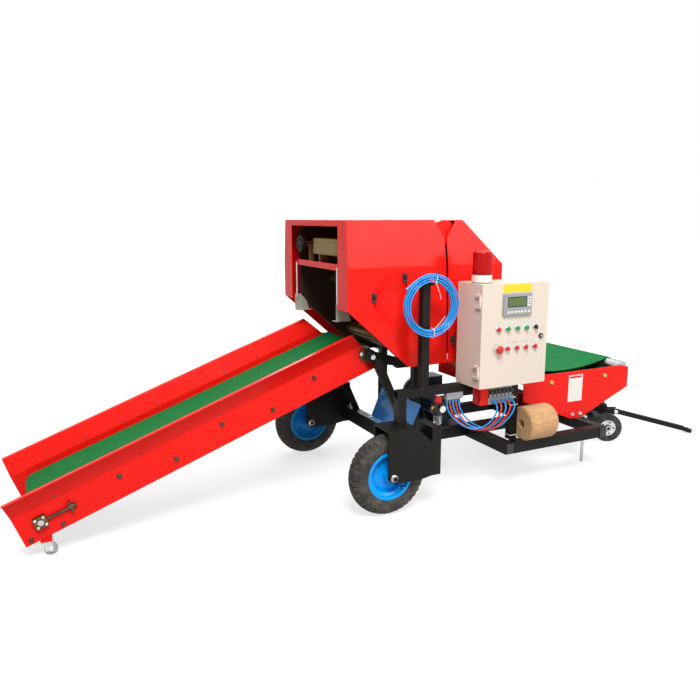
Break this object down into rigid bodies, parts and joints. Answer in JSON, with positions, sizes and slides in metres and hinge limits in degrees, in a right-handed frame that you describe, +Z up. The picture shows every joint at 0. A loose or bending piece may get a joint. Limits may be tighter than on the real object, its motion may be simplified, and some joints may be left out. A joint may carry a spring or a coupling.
{
  "type": "trailed silage baler and bale wrapper",
  "caption": "Small trailed baler and bale wrapper with an inclined feed belt, red bale chamber with a lifting tailgate, control cabinet, turning wrap table and steered drawbar.",
  "frame": {"origin": "centre of the bounding box on the floor, without the air hoses", "axes": "+X from the feed conveyor to the drawbar, +Y to the far side away from the control cabinet, +Z up"},
  "size_m": [4.1091, 1.39, 1.3994],
  "materials": {
    "tyre": "matte",
    "blue_paint": "gloss",
    "black_paint": "satin",
    "steel": "satin",
    "aluminium": "satin",
    "grey_plastic": "matte",
    "black_plastic": "matte",
    "red_paint": "gloss",
    "dark_steel": "satin",
    "olive_paint": "satin",
    "green_belt": "matte",
    "cream_paint": "satin",
    "white_plastic": "gloss",
    "red_lens": "gloss",
    "twine": "matte",
    "film": "gloss",
    "blue_hose": "gloss",
    "red_hose": "gloss"
  },
  "bodies": {
    "chassis": {"air_unit": "black_plastic", "beacon_base": "white_plastic", "beacon_lens": "red_lens", "blue_hoses": "blue_hose", "cabinet_box": "cream_paint", "cabinet_plate": "steel", "chamber_plates": "dark_steel", "chamber_stand": "black_paint", "chassis_frame": "black_paint", "cover_stays": "dark_steel", "drive_motor": "dark_steel", "drop_chute": "blue_paint", "film_mast": "black_paint", "film_rollers": "steel", "front_cover_far": "red_paint", "front_cover_near": "red_paint", "front_cover_top": "red_paint", "front_rollers": "steel", "hinge_shaft": "steel", "hose_block": "aluminium", "hose_hank": "blue_hose", "red_hoses": "red_hose", "side_beam": "black_paint", "twine_ball": "twine", "twine_tray": "red_paint", "twine_unit": "olive_paint", "valve_bank": "grey_plastic", "wheel_boxes": "black_paint"},
    "wheel_near": {"tyre_near": "tyre", "rim_near": "blue_paint"},
    "wheel_far": {"tyre_far": "tyre", "rim_far": "blue_paint"},
    "conveyor": {"conveyor_trough": "red_paint", "conveyor_belt": "green_belt", "conveyor_drums": "steel", "conveyor_bearings": "olive_paint"},
    "caster_near": {"caster_fork_near": "steel"},
    "caster_far": {"caster_fork_far": "steel"},
    "caster_roll_near": {"caster_wheel_near": "grey_plastic"},
    "caster_roll_far": {"caster_wheel_far": "grey_plastic"},
    "tailgate": {"gate_cover_near": "red_paint", "gate_cover_back": "red_paint", "gate_cover_far": "red_paint", "gate_plates": "dark_steel", "gate_stays": "dark_steel", "gate_rollers": "steel"},
    "barrel": {"cylinder_barrel": "aluminium"},
    "rod": {"cylinder_rod": "steel"},
    "table": {"table_plates": "red_paint", "table_rollers": "steel", "table_belt": "green_belt", "table_frame": "black_paint"},
    "door": {"cabinet_door": "cream_paint", "door_controls": "black_plastic"},
    "bogie": {"steer_bogie": "black_paint"},
    "bogie_wheels": {"steer_wheels": "tyre"},
    "drawbar": {"drawbar": "black_paint"},
    "leg_near": {"leg_screw_near": "steel"},
    "leg_far": {"leg_screw_far": "steel"},
    "reel": {"film_reel": "film"}
  },
  "joints": [
    {"name": "wheel_near_spin", "type": "hinge", "parent": "chassis", "child": "wheel_near", "pos_m": [-0.398, -0.5, 0.2], "axis": [0, 1, 0], "continuous": true},
    {"name": "wheel_far_spin", "type": "hinge", "parent": "chassis", "child": "wheel_far", "pos_m": [-0.398, 0.5, 0.2], "axis": [0, 1, 0], "continuous": true},
    {"name": "conveyor_lift", "type": "hinge", "parent": "chassis", "child": "conveyor", "pos_m": [-0.3805, 0, 0.73635], "axis": [0, 1, 0], "range_deg": [0, 20]},
    {"name": "caster_near_swivel", "type": "hinge", "parent": "conveyor", "child": "caster_near", "pos_m": [-1.89799, -0.235, 0.06], "axis": [0, 0, 1], "continuous": true},
    {"name": "caster_far_swivel", "type": "hinge", "parent": "conveyor", "child": "caster_far", "pos_m": [-1.89799, 0.235, 0.06], "axis": [0, 0, 1], "continuous": true},
    {"name": "caster_near_roll", "type": "hinge", "parent": "caster_near", "child": "caster_roll_near", "pos_m": [-1.88199, -0.235, 0.027], "axis": [0, 1, 0], "continuous": true},
    {"name": "caster_far_roll", "type": "hinge", "parent": "caster_far", "child": "caster_roll_far", "pos_m": [-1.88199, 0.235, 0.027], "axis": [0, 1, 0], "continuous": true},
    {"name": "tailgate_open", "type": "hinge", "parent": "chassis", "child": "tailgate", "pos_m": [-0.02, 0, 1.31197], "axis": [0, -1, 0], "range_deg": [0, 60]},
    {"name": "barrel_swing", "type": "hinge", "parent": "chassis", "child": "barrel", "pos_m": [-0.318, 0.34, 0.85999], "axis": [0, -1, 0], "range_deg": [0, 15.56]},
    {"name": "rod_slide", "type": "slide", "parent": "barrel", "child": "rod", "axis": [0.9271, 0, 0.3747], "range_m": [0, 0.2638]},
    {"name": "table_turn", "type": "hinge", "parent": "chassis", "child": "table", "pos_m": [0.885, 0, 0.28], "axis": [0, 0, 1], "continuous": true},
    {"name": "door_open", "type": "hinge", "parent": "chassis", "child": "door", "pos_m": [0.006, -0.651, 0.855], "axis": [0, 0, -1], "range_deg": [0, 110]},
    {"name": "steering", "type": "hinge", "parent": "chassis", "child": "bogie", "pos_m": [1.494, 0, 0.2], "axis": [0, 0, 1], "range_deg": [-32, 88]},
    {"name": "bogie_wheel_spin", "type": "hinge", "parent": "bogie", "child": "bogie_wheels", "pos_m": [1.494, 0, 0.09], "axis": [0.4695, 0.8829, 0], "continuous": true},
    {"name": "drawbar_lift", "type": "hinge", "parent": "bogie", "child": "drawbar", "pos_m": [1.59112, -0.05164, 0.146], "axis": [-0.4695, -0.8829, 0], "range_deg": [0, 80]},
    {"name": "leg_near_screw", "type": "slide", "parent": "chassis", "child": "leg_near", "axis": [0, 0, 1], "range_m": [0, 0.12]},
    {"name": "leg_far_screw", "type": "slide", "parent": "chassis", "child": "leg_far", "axis": [0, 0, 1], "range_m": [0, 0.12]},
    {"name": "reel_spin", "type": "hinge", "parent": "chassis", "child": "reel", "pos_m": [1.035, 0.6, 0.84], "axis": [0, 0, 1], "continuous": true}
  ],
  "couplings": [
    {"joint": "barrel_swing", "follows": "tailgate_open", "ratio": 0.25937},
    {"joint": "rod_slide", "follows": "tailgate_open", "m_per_rad": 0.25191}
  ]
}
